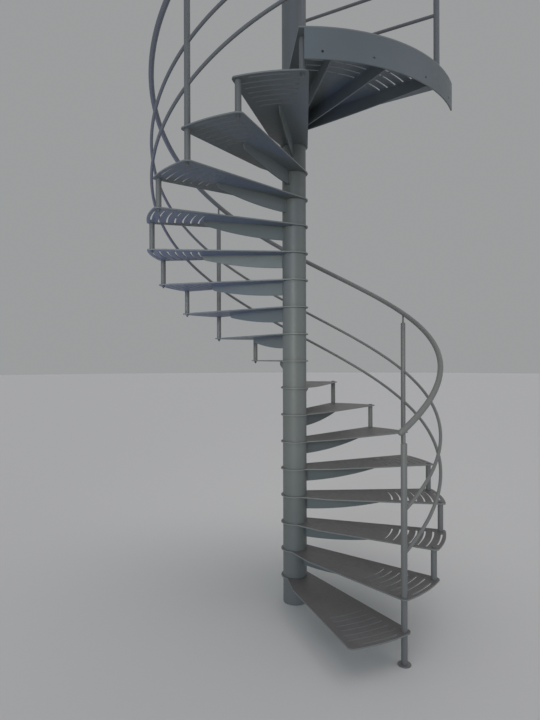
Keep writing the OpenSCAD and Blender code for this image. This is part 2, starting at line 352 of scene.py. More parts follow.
def cut_plate(loops):
    """A flat plate whose top lies at z = 0. The first loop is the outline, the others are holes."""
    curve = bpy.data.curves.new("outline", "CURVE")
    curve.dimensions = "2D"
    curve.fill_mode = "BOTH"
    curve.extrude = PLATE_T / 2 - EDGE_R
    curve.bevel_depth = EDGE_R
    curve.bevel_resolution = 1
    curve.offset = -EDGE_R
    for loop in loops:
        spline = curve.splines.new("POLY")
        spline.points.add(len(loop) - 1)
        spline.points.foreach_set("co", [c for p in loop for c in (p[0], p[1], 0.0, 1.0)])
        spline.use_cyclic_u = True
    holder = bpy.data.objects.new("outline", curve)
    mesh = bpy.data.meshes.new_from_object(holder)
    bpy.data.objects.remove(holder)
    mesh.transform(Matrix.Translation((0, 0, -PLATE_T / 2)))
    return tidy_mesh(mesh, PLATE_SHARP)


# %% [markdown]
# ## Copies that climb
# Treads, gussets, pillars, nuts and caps are the same piece again and again, one rise higher
# and one step further round. A Geometry Nodes tree makes them: it lays points on the axis, one
# for each tread, and puts a copy of the piece on each point with its own turn. Two more inputs
# pick the places, because long posts stand only at the first tread, at every fifth and at the
# last, and short pillars everywhere else.

# %% Node helpers
def put(tree, kind, inputs=None, **settings):
    """Adds a node, sets its options, and fills its inputs with values or with other sockets."""
    node = tree.nodes.new(kind)
    for option, value in settings.items():
        setattr(node, option, value)
    for key, value in (inputs or {}).items():
        socket = node.inputs[key]
        if isinstance(value, bpy.types.NodeSocket):
            tree.links.new(value, socket)
        else:
            socket.default_value = value
    return node


def math_node(tree, operation, *values):
    return put(tree, "ShaderNodeMath", dict(enumerate(values)), operation=operation).outputs[0]


def new_tree(name, inputs):
    """A Geometry Nodes tree with a geometry input, named inputs and a geometry output."""
    tree = bpy.data.node_groups.new(name, "GeometryNodeTree")
    tree.interface.new_socket("Geometry", in_out="INPUT", socket_type="NodeSocketGeometry")
    for label, kind in inputs.items():
        tree.interface.new_socket(label, in_out="INPUT", socket_type="NodeSocket" + kind)
    tree.interface.new_socket("Geometry", in_out="OUTPUT", socket_type="NodeSocketGeometry")
    return tree, tree.nodes.new("NodeGroupInput").outputs


def close_tree(tree, geometry, material):
    """Ends a tree: copies become real, and everything gets the material."""
    real = put(tree, "GeometryNodeRealizeInstances", {"Geometry": geometry})
    painted = put(tree, "GeometryNodeSetMaterial", {"Geometry": real.outputs[0], "Material": material})
    out = tree.nodes.new("NodeGroupOutput")
    tree.links.new(painted.outputs[0], out.inputs[0])


# %% Use of a tree
def grown(tree, mesh, values):
    """Runs a tree on a mesh and gives the result back as a plain mesh."""
    holder = add_object("holder", mesh)
    modifier = holder.modifiers.new("nodes", "NODES")
    modifier.node_group = tree
    for item in tree.interface.items_tree:
        if item.in_out == "INPUT" and item.name in values:
            modifier[item.identifier] = values[item.name]
    holder.update_tag()
    graph = bpy.context.evaluated_depsgraph_get()
    result = bpy.data.meshes.new_from_object(holder.evaluated_get(graph))
    bpy.data.objects.remove(holder)
    return result


# %% The climbing tree
ALL_PLACES, LONG_PLACES, SHORT_PLACES = 0, 1, 2
SAME_WITHIN = 0.1


def is_same(tree, first, second):
    """1 where two whole numbers are the same, and 0 elsewhere."""
    return math_node(tree, "COMPARE", first, second, SAME_WITHIN)


def stands_long(tree, number, given):
    """1 at the treads that have a long post: the first, the last and every fifth."""
    is_first = is_same(tree, number, 1.0)
    is_last = is_same(tree, number, given["Tread count"])
    remainder = math_node(tree, "MODULO", number, given["Post every"])
    is_end = math_node(tree, "MAXIMUM", is_first, is_last)
    return math_node(tree, "MAXIMUM", is_end, is_same(tree, remainder, 0.0))


def make_climb_tree():
    tree, given = new_tree("climbing_copies", {
        "First": "Int", "Last": "Int", "Rise": "Float", "Turn": "Float", "Start angle": "Float",
        "Places": "Int", "Post every": "Int", "Tread count": "Int", "Material": "Material",
    })
    index = tree.nodes.new("GeometryNodeInputIndex").outputs[0]
    number = math_node(tree, "ADD", index, given["First"])
    count = math_node(tree, "ADD", math_node(tree, "SUBTRACT", given["Last"], given["First"]), 1.0)
    low_end = math_node(tree, "MULTIPLY", given["First"], given["Rise"])
    start = put(tree, "ShaderNodeCombineXYZ", {2: low_end})
    offset = put(tree, "ShaderNodeCombineXYZ", {2: given["Rise"]})
    line = put(tree, "GeometryNodeMeshLine", {
        "Count": count, "Start Location": start.outputs[0], "Offset": offset.outputs[0],
    })
    steps = math_node(tree, "SUBTRACT", number, 1.0)
    angle = math_node(tree, "MULTIPLY_ADD", steps, given["Turn"], given["Start angle"])
    turn = put(tree, "FunctionNodeAxisAngleToRotation", {"Axis": (0, 0, 1), "Angle": angle})
    wants_all = is_same(tree, given["Places"], float(ALL_PLACES))
    wants_long = is_same(tree, given["Places"], float(LONG_PLACES))
    agrees = is_same(tree, stands_long(tree, number, given), wants_long)
    copies = put(tree, "GeometryNodeInstanceOnPoints", {
        "Points": line.outputs[0], "Selection": math_node(tree, "MAXIMUM", wants_all, agrees),
        "Instance": given["Geometry"], "Rotation": turn.outputs[0],
    })
    close_tree(tree, copies.outputs[0], given["Material"])
    return tree


# %% Climbing copies
climb_tree = make_climb_tree()


def climbing(mesh, material, first=1, last=TREAD_COUNT, places=ALL_PLACES, turn=STEP_TURN):
    """Copies of a mesh at the treads first to last. The mesh is drawn at tread 0, before any turn."""
    return grown(climb_tree, mesh, {
        "First": first, "Last": last, "Rise": RISE, "Turn": turn, "Start angle": START_ANGLE,
        "Places": places, "Post every": POST_EVERY, "Tread count": TREAD_COUNT, "Material": material,
    })


print("climbing tree:", len(climb_tree.nodes), "nodes")

# %% [markdown]
# ## The paint
# The whole stair has one satin grey, sprayed on steel. Three things keep it from looking like
# plastic: a very fine orange-peel bump from the spray gun, a slow drift in shade where the coat
# is thicker or thinner, and roughness that isn't the same everywhere. Dust lies on the treads'
# top faces, with small pale scuffs from shoes in it. The upright cut edges of the plates are
# painted paler: a painted highlight where they catch the light, with a little rubbed wear in it.
# Which way a face points decides both, so they are read from the upright part of its normal.

# %% Paint helpers
def noise(tree, place, scale, detail=2.0, roughness=0.5):
    node = put(tree, "ShaderNodeTexNoise", {
        "Vector": place, "Scale": scale, "Detail": detail, "Roughness": roughness,
    })
    return node.outputs["Fac"]


def ranged(tree, value, band, result=(0.0, 1.0)):
    """Stretches the part of a value inside a band to the result, and cuts off what lies outside."""
    node = put(tree, "ShaderNodeMapRange", {
        "Value": value, "From Min": band[0], "From Max": band[1],
        "To Min": result[0], "To Max": result[1],
    })
    return node.outputs[0]


def blended(tree, share, first, second):
    """Mixes two colours, which are inputs 6 and 7 and output 2 of a node set to colour."""
    return put(tree, "ShaderNodeMix", {0: share, 6: first, 7: second}, data_type="RGBA").outputs[2]


def shades_of(colour, factors):
    """A darker and a lighter shade of a colour."""
    return [(*[c * factor for c in colour], 1.0) for factor in factors]


# %% Dust and scuffs
DUST_COLOUR = (0.146, 0.139, 0.138)
DUST_SHADES = (0.90, 1.10)
DUST_DULLNESS = 0.08
CLOUD_SCALE = 9.0
CLOUD_BAND = (0.35, 0.68)
SCUFF_COLOUR = (0.230, 0.225, 0.220, 1.0)
SCUFF_SCALE = 55.0
SCUFF_BAND = (0.60, 0.72)
SCUFF_SHARE = 0.5
LYING_BAND = (0.6, 0.95)


def dust_clouds(tree, place):
    """Where the dust lies thicker."""
    return ranged(tree, noise(tree, place, CLOUD_SCALE, detail=6.0, roughness=0.62), CLOUD_BAND)


def dust_tone(tree, place, clouds):
    """The colour of dust, paler where it is thick, with small scuffs."""
    scuffs = noise(tree, place, SCUFF_SCALE, detail=9.0, roughness=0.7)
    tone = blended(tree, clouds, *shades_of(DUST_COLOUR, DUST_SHADES))
    return blended(tree, ranged(tree, scuffs, SCUFF_BAND, (0.0, SCUFF_SHARE)), tone, SCUFF_COLOUR)


# %% Satin paint
SATIN = (0.42, 0.54)
NOISE_BAND = (0.3, 0.7)
DRIFT_SCALE = 2.3
DRIFT_SHADES = (0.93, 1.07)
GLOSS_SCALE = 38.0
PEEL_SCALE = 620.0
PEEL_STRENGTH = 0.12
PEEL_DEPTH = 0.0002
# Upright faces are painted paler in this colour: a painted highlight on the cut edges, with a little
# rubbed wear.
EDGE_HIGHLIGHT_AND_WEAR_COLOUR = (0.205, 0.220, 0.215, 1.0)
EDGE_HIGHLIGHT_AND_WEAR_BAND = (0.3, 0.95)


def satin_paint(name, colour, dust=0.0, edge_highlight_and_wear=0.0):
    """Satin grey paint on steel. Dust lies on faces that look up, and upright faces get a paler painted
    highlight, with a little rubbed wear.
    """
    material = bpy.data.materials.new(name)
    material.use_nodes = True
    tree = material.node_tree
    shader = tree.nodes["Principled BSDF"]
    place = tree.nodes.new("ShaderNodeTexCoord").outputs["Object"]
    drift = ranged(tree, noise(tree, place, DRIFT_SCALE, detail=3.0), NOISE_BAND)
    base = blended(tree, drift, *shades_of(colour, DRIFT_SHADES))
    rough = ranged(tree, noise(tree, place, GLOSS_SCALE, detail=4.0), NOISE_BAND, SATIN)
    face = tree.nodes.new("ShaderNodeNewGeometry").outputs["Normal"]
    upward = put(tree, "ShaderNodeSeparateXYZ", {0: face}).outputs[2]
    # Painted highlight: upright faces are mixed towards the paler colour as if lit, with a little
    # rubbed wear.
    if edge_highlight_and_wear:
        edge = ranged(tree, math_node(tree, "ABSOLUTE", upward), EDGE_HIGHLIGHT_AND_WEAR_BAND, (edge_highlight_and_wear, 0.0))
        base = blended(tree, edge, base, EDGE_HIGHLIGHT_AND_WEAR_COLOUR)
    if dust:
        clouds = dust_clouds(tree, place)
        lying = ranged(tree, upward, LYING_BAND, (0.0, dust))
        base = blended(tree, lying, base, dust_tone(tree, place, clouds))
        thick = math_node(tree, "MULTIPLY", lying, clouds)
        rough = math_node(tree, "MULTIPLY_ADD", thick, DUST_DULLNESS, rough)
    peel = noise(tree, place, PEEL_SCALE)
    bump = put(tree, "ShaderNodeBump", {
        "Strength": PEEL_STRENGTH, "Distance": PEEL_DEPTH, "Height": peel,
    })
    tree.links.new(base, shader.inputs["Base Color"])
    tree.links.new(rough, shader.inputs["Roughness"])
    tree.links.new(bump.outputs[0], shader.inputs["Normal"])
    return material


# %% Paints of the stair
# The column, tread and rail greys are one paint. The small differences in shade and tint between them
# are painted light and shade, which give each part the brightness it shows under the light. The fixing
# grey is the darker paint of the nuts and caps.
TREAD_GREY = (0.144, 0.170, 0.177)
DUSTY = 0.9
column_paint = satin_paint("column_paint", (0.154, 0.170, 0.167))
tread_paint = satin_paint("tread_paint", TREAD_GREY, dust=DUSTY)
# The plates' paint is the tread grey plus the painted highlight on upright cut edges.
plate_paint = satin_paint("plate_paint", TREAD_GREY, dust=DUSTY, edge_highlight_and_wear=1.0)
rail_paint = satin_paint("rail_paint", (0.172, 0.179, 0.176))
fixing_paint = satin_paint("fixing_paint", (0.120, 0.130, 0.128))
PAINTS = {
    "column_paint": column_paint, "tread_paint": tread_paint,
    "rail_paint": rail_paint, "fixing_paint": fixing_paint,
}
for subpart in frame["record"]["subparts"]:
    node = frame["nodes"][subpart["node"]]
    node.data.materials.clear()
    node.data.materials.append(PAINTS[subpart["material_slot"]])
print("paints:", ", ".join(PAINTS))

# %% [markdown]
# A finished mesh then goes into the scene in one step. It gets its paint, it is tied to the
# stair's only body, and the nodes of the construction that it stands for are hidden. Welds stand
# for none, because the construction leaves them out.

# %% Finished pieces
def show(name, mesh, slot, *nodes, sharp=ROUND_SHARP, paint=None):
    """Shades and paints a finished mesh and puts it in the scene in place of some nodes."""
    mesh.materials.clear()
    mesh.materials.append(paint or PAINTS[slot])
    shade(mesh, sharp)
    piece = add_object(name, mesh)
    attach(piece, "root")
    if nodes:
        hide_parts(*nodes)
    mesh.calc_loop_triangles()
    print(name + ":", len(mesh.loop_triangles), "triangles")


# %% [markdown]
# ## Treads
# Each tread is one piece of 8 mm plate. Its inner end is a ring that the column's sleeves
# clamp. The front edge is straight, the rear corner wraps round the pillar, and seven arc
# slots near the rim drain it and keep a shoe from slipping. The outline is put together from
# arcs and straight lines and then cut by the plate helper.

# %% Sizes of a tread
RING_R = 0.0925
RING_POINTS = 44
POLE_HOLE_R = 0.0382
FRONT_OFFSET = 0.112
FRONT_DIR = math.radians(-15.3)
FRONT_BEND = 0.230
HUB_ANGLE = math.radians(-73)
HUB_LAP = 0.002
FRONT_CORNER_R = 0.025
REAR_CORNER_R = 0.032
REAR_TILT = math.asin((RING_R - REAR_CORNER_R) / PILLAR_R)
TREAD_R = PILLAR_R + REAR_CORNER_R

front_unit = polar(1, FRONT_DIR)
front_normal = polar(1, FRONT_DIR - RIGHT_ANGLE)
front_knee = FRONT_OFFSET * front_normal + FRONT_BEND * front_unit
front_hub = polar(RING_R - HUB_LAP, HUB_ANGLE)
print("tread radius", round(TREAD_R, 4), "rear edge", round(math.degrees(REAR_TILT), 2), "degrees off")

# %% Outline of a tread
def leaves_ring(start, end):
    """Where a line from inside the ring crosses its circle."""
    step = (end - start).normalized()
    along = -start.dot(step)
    return start + step * (along + math.sqrt(RING_R ** 2 - (start + step * along).length_squared))


def hub_arc(rear_angle):
    """The ring's outer edge, from the rear side round to where the front edge leaves it."""
    front = leaves_ring(front_hub, front_knee)
    front_angle = math.atan2(front.y, front.x) + FULL_TURN
    return arc(AXIS, RING_R, rear_angle, front_angle, RING_POINTS)


def front_corner():
    """Centre of the circle that touches the front edge and the rim."""
    inset = FRONT_OFFSET - FRONT_CORNER_R
    along = math.sqrt((TREAD_R - FRONT_CORNER_R) ** 2 - inset ** 2)
    return inset * front_normal + along * front_unit


def tread_outline():
    corner = front_corner()
    corner_angle = math.atan2(corner.y, corner.x)
    pillar = Vector((PILLAR_R, 0))
    return (
        hub_arc(RIGHT_ANGLE - REAR_TILT)
        + [front_knee]
        + arc(corner, FRONT_CORNER_R, FRONT_DIR - RIGHT_ANGLE, corner_angle, count=12)
        + arc(AXIS, TREAD_R, corner_angle, 0, count=26)[1:-1]
        + arc(pillar, REAR_CORNER_R, 0, RIGHT_ANGLE - REAR_TILT, count=14)
    )


print("tread outline:", len(tread_outline()), "points")

# %% Holes of a tread
SLOT_HALF = 0.0055
SLOT_COUNT = 7
SLOT_FIRST_R = 0.640
SLOT_PITCH = 0.0506
SLOT_SPAN = (FRONT_DIR - math.radians(5.1), math.radians(-1.2))
SLOT_POINTS = 14
SLOT_END_POINTS = 10
LAST_SLOT_R = PILLAR_R + 0.005
LAST_SLOT_TURN = math.radians(3.7)
LAST_SLOT_SPAN = (LAST_SLOT_TURN - STEP_TURN, -LAST_SLOT_TURN)


def slot_hole(radius, start, end):
    """An arc-shaped slot with round ends."""
    behind = start + math.pi
    far_end = arc(polar(radius, end), SLOT_HALF, end, end + math.pi, SLOT_END_POINTS)
    near_end = arc(polar(radius, start), SLOT_HALF, behind, behind + math.pi, SLOT_END_POINTS)
    return (
        arc(AXIS, radius + SLOT_HALF, start, end, SLOT_POINTS)
        + far_end[1:-1]
        + arc(AXIS, radius - SLOT_HALF, end, start, SLOT_POINTS)
        + near_end[1:-1]
    )


def round_hole(centre, radius):
    return arc(centre, radius, 0, FULL_TURN, count=32)[:-1]


def slot_holes():
    holes = [slot_hole(SLOT_FIRST_R + i * SLOT_PITCH, *SLOT_SPAN) for i in range(SLOT_COUNT - 1)]
    return holes + [slot_hole(LAST_SLOT_R, *LAST_SLOT_SPAN)]


pole_hole = round_hole(AXIS, POLE_HOLE_R)
print("slots:", len(slot_holes()), "a tread")

# %% [markdown]
# ### Three kinds of tread
# The rim holes differ. Where a short pillar comes up under a tread's front corner, only its
# stud passes through. Where a long post comes up, the post itself does. The first tread has no
# pillar below, and its own post goes down to the ground. So each tread is drawn as it lies
# above the pillar below it, and the climbing tree sorts out which kind goes where.

# %% Tread plates
STUD_HOLE_R = 0.0065
POST_HOLE_R = TUBE_R + 0.0002


def tread_plate(front_hole_r, rear_hole_r):
    loops = [tread_outline(), pole_hole, round_hole(polar(PILLAR_R, 0), rear_hole_r)]
    if front_hole_r:
        loops.append(round_hole(polar(PILLAR_R, -STEP_TURN), front_hole_r))
    return cut_plate(loops + slot_holes())


one_step_up = Matrix.Translation((0, 0, RISE)) @ Matrix.Rotation(STEP_TURN, 4, "Z")
above_pillar = placed(tread_plate(STUD_HOLE_R, STUD_HOLE_R), one_step_up)
above_post = placed(tread_plate(POST_HOLE_R, STUD_HOLE_R), one_step_up)
treads = joined([
    climbing(tread_plate(0, POST_HOLE_R), tread_paint, last=1),
    climbing(above_pillar, tread_paint, last=TREAD_COUNT - 1, places=SHORT_PLACES),
    climbing(above_post, tread_paint, last=TREAD_COUNT - 1, places=LONG_PLACES),
])
tread_nodes = [f"tread_{n:02d}" for n in range(1, TREAD_COUNT + 1)]
show("tread_plates", treads, "tread_paint", *tread_nodes, sharp=PLATE_SHARP, paint=plate_paint)

# %% [markdown]
# ## Gussets
# A plate 8 mm thick would bend under a foot, so an upright gusset is welded under each tread.
# It is deepest at the column, where the load is greatest, and rises in a curve to a round
# nose. It is drawn from the side, cut like the treads, and then stood up on its edge.

# %% Gusset from the side
GUSSET_DEPTH = 0.097
GUSSET_LEVEL = 0.100
GUSSET_REACH = 0.621
GUSSET_TIP = 0.044
NOSE_R = 0.030
NOSE_FROM = math.radians(-78)
UNDERSIDE_POINTS = 16


def underside(reach, tip, end_x=None):
    """The lower edge: level near the column, then rising ever faster to the start of the nose."""
    nose_start = Vector((reach - NOSE_R, NOSE_R - tip)) + polar(NOSE_R, NOSE_FROM)
    whole = nose_start.x - GUSSET_LEVEL
    end_x = end_x or nose_start.x
    points = []
    for i in range(UNDERSIDE_POINTS + 1):
        x = GUSSET_LEVEL + (end_x - GUSSET_LEVEL) * i / UNDERSIDE_POINTS
        share = (x - GUSSET_LEVEL) / whole
        points.append(Vector((x, share ** 2 * (nose_start.y + GUSSET_DEPTH) - GUSSET_DEPTH)))
    return points


def against_column():
    """The two corners where a gusset meets the column."""
    return [Vector((SLEEVE_R, -PLATE_T)), Vector((SLEEVE_R, -GUSSET_DEPTH))]


nose_centre = Vector((GUSSET_REACH - NOSE_R, NOSE_R - GUSSET_TIP))
gusset_side = (
    against_column()
    + underside(GUSSET_REACH, GUSSET_TIP)[:-1]
    + arc(nose_centre, NOSE_R, NOSE_FROM, 0, count=12)
    + [Vector((GUSSET_REACH, -PLATE_T))]
)
print("gusset outline:", len(gusset_side), "points")

# %% Gussets in place
def stood_up(mesh, angle):
    """Stands a flat plate on its edge, in the radial plane at an angle."""
    upright = Matrix.Rotation(RIGHT_ANGLE, 4, "X")
    centred = Matrix.Translation((0, -PLATE_T / 2, 0))
    return placed(mesh, Matrix.Rotation(angle, 4, "Z") @ centred @ upright)


gusset = stood_up(cut_plate([gusset_side]), -STEP_TURN / 2)
gussets = climbing(gusset, tread_paint)
show("gussets", gussets, "tread_paint", "tread_gussets", sharp=PLATE_SHARP)

# %% [markdown]
# ## Weld beads
# A weld is a row of overlapping drops of metal. Each bead here follows a line of the joint, and
# a second tree gives it a round section that swells and shrinks every few millimetres. The bead
# lies half inside the two plates, as the real one does.

# %% Weld tree
BEAD_R = 0.0032
BEAD_STEP = 0.0034
BEAD_SIDES = 6
SMALL_DROP = 0.86
DROP_SWELL = 0.14
WELD_SHARP = 60


def make_weld_tree():
    tree, given = new_tree("weld_bead", {
        "Bead radius": "Float", "Bead step": "Float", "Material": "Material",
    })
    line = put(tree, "GeometryNodeMeshToCurve", {"Mesh": given["Geometry"]})
    even = put(tree, "GeometryNodeResampleCurve", {
        "Curve": line.outputs[0], "Length": given["Bead step"],
    }, mode="LENGTH")
    index = tree.nodes.new("GeometryNodeInputIndex").outputs[0]
    every_other = math_node(tree, "MODULO", index, 2.0)
    swell = math_node(tree, "MULTIPLY_ADD", every_other, DROP_SWELL, SMALL_DROP)
    ring = put(tree, "GeometryNodeCurvePrimitiveCircle", {
        "Resolution": BEAD_SIDES, "Radius": given["Bead radius"],
    })
    bead = put(tree, "GeometryNodeCurveToMesh", {
        "Curve": even.outputs[0], "Profile Curve": ring.outputs[0], "Scale": swell, "Fill Caps": True,
    })
    close_tree(tree, bead.outputs[0], given["Material"])
    return tree


weld_tree = make_weld_tree()
print("weld tree:", len(weld_tree.nodes), "nodes")

# %% Welds of the gussets
BEAD_OUT = BEAD_R * 0.3
BEAD_SHORT = 0.004
BEAD_RAISED = 0.003


def bead_lines(reach, end_z):
    """Lines along both sides of a gusset: under the tread, and down the column."""
    side = PLATE_T / 2 + BEAD_OUT
    under = -PLATE_T - BEAD_OUT
    inner = SLEEVE_R + BEAD_OUT
    points = []
    for y in (-side, side):
        points += [(inner, y, under), (reach, y, under), (inner, y, under), (inner, y, end_z)]
    mesh = bpy.data.meshes.new("bead_lines")
    mesh.from_pydata(points, [(i, i + 1) for i in range(0, len(points), 2)], [])
    return mesh


def weld(mesh):
    return grown(weld_tree, mesh, {
        "Bead radius": BEAD_R, "Bead step": BEAD_STEP, "Material": tread_paint,
    })


gusset_beads = weld(bead_lines(GUSSET_REACH - BEAD_SHORT, BEAD_RAISED - GUSSET_DEPTH))
gusset_beads = placed(gusset_beads, Matrix.Rotation(-STEP_TURN / 2, 4, "Z"))
show("gusset_welds", climbing(gusset_beads, tread_paint), "tread_paint", sharp=WELD_SHARP)

# %% [markdown]
# ## Column
# The column is a stack: one sleeve for each rise, with a tread's ring clamped on top of it. A
# pole inside holds the stack together. A sleeve stands sharply on the ring below it, but its
# upper end has a small bevel, so that a thin dark line shows under every ring.

# %% Sleeves
SLEEVE_WALL = 0.005
SLEEVE_SIDES = 112
FOOT_BEVEL = 0.0003
TOP_BEVEL = 0.0016


def sleeve_outline(low, high):
    """Section of a tube: outer wall with a narrow bevel at the foot and a wider one at the top."""
    inner = SLEEVE_R - SLEEVE_WALL
    return [
        (SLEEVE_R - FOOT_BEVEL, low), (SLEEVE_R, low + FOOT_BEVEL), (SLEEVE_R, high - TOP_BEVEL),
        (SLEEVE_R - TOP_BEVEL, high), (inner, high), (inner, low),
    ]


sleeve = turned(sleeve_outline(0, RISE - PLATE_T), SLEEVE_SIDES, closed=True)
sleeves = climbing(sleeve, column_paint, first=0, turn=0)
show("sleeves", sleeves, "column_paint", "column_sleeves")

upper_sleeve = turned(sleeve_outline(LANDING_Z, COLUMN_TOP_Z), SLEEVE_SIDES, closed=True)
show("upper_sleeve", upper_sleeve, "column_paint", "column_top")

# %% Lid of the column
LID_TOP_Z = top_of("column_cap")
LID_EDGE = 0.003
LID_BEVEL = 0.0008
LID_CROWN = 0.0008
lid_outline = (
    [(0, COLUMN_TOP_Z), (LID_R - LID_BEVEL, COLUMN_TOP_Z), (LID_R, COLUMN_TOP_Z + LID_BEVEL)]
    + rounded_edge(LID_R, LID_TOP_Z - LID_EDGE, LID_EDGE, math.radians(75), count=5)
    + [(LID_R / 2, LID_TOP_Z - LID_CROWN), (0, LID_TOP_Z)]
)
lid = turned(lid_outline, SLEEVE_SIDES)
show("column_lid", lid, "column_paint", "column_cap")

# %% [markdown]
# ## Posts and pillars
# A post is a tube with a domed end. A thin pin stands on the dome and carries the handrail. A
# short pillar is a length of the same tube between two treads. Below each of them a threaded
# stud goes through the tread, and a nut holds it. Only the first post runs on down, to a foot.

# %% Stud
STUD_R = 0.006
STUD_SIDES = 24
STUD_END_Z = -0.026
STUD_IN_NUT = 0.004
THREAD_PITCH = 0.00175
THREAD_DEPTH = 0.0009
STUD_POINT = 0.0006


def stud_outline(low, high):
    """Outline of a thread, from the axis at its lower end up to where it enters a nut."""
    groove = STUD_R - THREAD_DEPTH
    points = [(0, low), (groove - STUD_POINT, low)]
    z = low + THREAD_PITCH / 2
    while z + THREAD_PITCH < high:
        points += [(STUD_R, z), (groove, z + THREAD_PITCH / 2)]
        z += THREAD_PITCH
    return points + [(STUD_R, high), (0, high)]


stud_end = turned(stud_outline(STUD_END_Z, -PLATE_T - STUD_IN_NUT), STUD_SIDES)
print("stud:", len(stud_end.polygons), "faces")

# %% Posts
TUBE_SIDES = 56
TUBE_BEVEL = 0.0012
DOME_R = 0.008


def at_pillar(mesh):
    return placed(mesh, Matrix.Translation((PILLAR_R, 0, 0)))


def post_outline(low, top):
    """A tube with a bevelled foot and a domed end."""
    dome = rounded_edge(TUBE_R, top, DOME_R, RIGHT_ANGLE, count=7)
    return [(0, low), (TUBE_R - TUBE_BEVEL, low), (TUBE_R, low + TUBE_BEVEL)] + dome + [(0, top)]


long_post = at_pillar(joined([turned(post_outline(0, POST_H), TUBE_SIDES), stud_end]))
start_post = at_pillar(turned(post_outline(FOOT_T - RISE, POST_H), TUBE_SIDES))
posts = joined([
    climbing(start_post, rail_paint, last=1),
    climbing(long_post, rail_paint, first=2, places=LONG_PLACES),
])
show("posts", posts, "rail_paint", "start_post", "post_05", "post_10", "post_15", "post_17")

# %% Pins between the posts and the handrail
HANDRAIL_H = 1.071
PIN_R = 0.007
PIN_SIDES = 32
PIN_END_Z = HANDRAIL_H - TUBE_R / 2
PIN_FILLET = 0.002
# How far out and how high each point of the fillet lies, as shares of its size.
FILLET_SHARES = ((1, -1), (1, 0), (0.3, 0.4), (0, 1.4))
pin_outline = (
    [(0, POST_H - PIN_FILLET)]
    + [(PIN_R + PIN_FILLET * out, POST_H + PIN_FILLET * up) for out, up in FILLET_SHARES]
    + [(PIN_R, PIN_END_Z), (0, PIN_END_Z)]
)
pin = at_pillar(turned(pin_outline, PIN_SIDES))
pins = climbing(pin, rail_paint, places=LONG_PLACES)
show("post_pins", pins, "rail_paint", "rail_pins")

# %% Short pillars
PILLAR_TOP = RISE - PLATE_T
pillar_outline = [
    (0, 0), (TUBE_R - TUBE_BEVEL, 0), (TUBE_R, TUBE_BEVEL),
    (TUBE_R, PILLAR_TOP - TUBE_BEVEL), (TUBE_R - TUBE_BEVEL, PILLAR_TOP), (0, PILLAR_TOP),
]
pillar = at_pillar(joined([turned(pillar_outline, TUBE_SIDES), stud_end]))
pillars = climbing(pillar, rail_paint, places=SHORT_PLACES)
show("pillars", pillars, "rail_paint", "step_pillars")

# %% Foot of the first post
FOOT_EDGE = 0.0015
foot_edge = rounded_edge(FOOT_R, FOOT_T, FOOT_EDGE, RIGHT_ANGLE, count=4)
foot_outline = [(0, 0), (FOOT_R, 0)] + foot_edge + [(0, FOOT_T)]
foot = placed(at_pillar(turned(foot_outline, TUBE_SIDES)), Matrix.Translation((0, 0, -RISE)))
show("post_foot", climbing(foot, rail_paint, last=1), "rail_paint", "start_foot")

# %% [markdown]
# ## Nuts and caps
# A hexagon nut isn't a plain prism. Its corners are turned down by a cone on both faces, which
# leaves a round land and six curved edges. The outline at each angle is the smaller of the
# hexagon and the cone, so the nut is made outline by outline from that rule.

# %% Hexagon nut
NUT_ACROSS = 0.019
NUT_T = 0.010
NUT_SIDES = 36
NUT_LAND_R = NUT_ACROSS / 2 * 0.98
NUT_BORE_R = STUD_R * 0.8
NUT_SHARP = 25
CONE_SLOPE = math.tan(math.radians(30))
SECTOR = FULL_TURN / 6


def hexagon_radius(angle):
    """Distance from the axis to the side of the hexagon at an angle."""
    off_middle = (angle + SECTOR / 2) % SECTOR - SECTOR / 2
    return NUT_ACROSS / 2 / math.cos(off_middle)


def nut_outline(angle, low, high):
    reach = hexagon_radius(angle)
    drop = (reach - NUT_LAND_R) * CONE_SLOPE
    return [
        (NUT_BORE_R, low), (NUT_LAND_R, low), (reach, low + drop),
        (reach, high - drop), (NUT_LAND_R, high), (NUT_BORE_R, high),
    ]


nut_angles = [FULL_TURN * i / NUT_SIDES for i in range(NUT_SIDES)]
nut_rings = [nut_outline(angle, -PLATE_T - NUT_T, -PLATE_T) for angle in nut_angles]
nut = at_pillar(spun(nut_rings, closed=True, sharp=NUT_SHARP))
print("nut:", len(nut.polygons), "faces")

# %% [markdown]
# The landing's far edge has one more post and nut. Its place is worked out here, so that the
# nuts, and later the guard, can be put there.

# %% Nuts in place
LANDING_ANGLE = START_ANGLE + TREAD_COUNT * STEP_TURN
FAR_TURN = 2 * STEP_TURN
on_landing = Matrix.Translation((0, 0, LANDING_Z)) @ Matrix.Rotation(LANDING_ANGLE, 4, "Z")
on_far_edge = on_landing @ Matrix.Rotation(FAR_TURN, 4, "Z")
nuts = joined([climbing(nut, fixing_paint, first=2), placed(nut.copy(), on_far_edge)])
show("nuts", nuts, "fixing_paint", "pillar_nuts", sharp=NUT_SHARP)

# %% Round caps
CAP_R = 0.0125
CAP_T = 0.006
CAP_SIDES = 40
CAP_EDGE = 0.0018
CAP_BEVEL = 0.0004
cap_outline = (
    [(0, 0), (CAP_R - CAP_BEVEL, 0), (CAP_R, CAP_BEVEL)]
    + rounded_edge(CAP_R, CAP_T, CAP_EDGE, math.radians(80), count=5)
    + [(0, CAP_T)]
)
cap = placed(at_pillar(turned(cap_outline, CAP_SIDES)), Matrix.Translation((0, 0, RISE)))
caps = climbing(cap, fixing_paint, places=SHORT_PLACES)
show("cap_nuts", caps, "fixing_paint", "pillar_caps")

# %% [markdown]
# ## Handrail and rods
# The handrail and the two rods below it follow one helix: they climb one rise in each step of
# turn. A third tree bends a straight row of points into that helix and wraps a round section
# along it. The points lie closer together near the ends, where the section shrinks to make the
# handrail's rounded tips, and further apart between them.

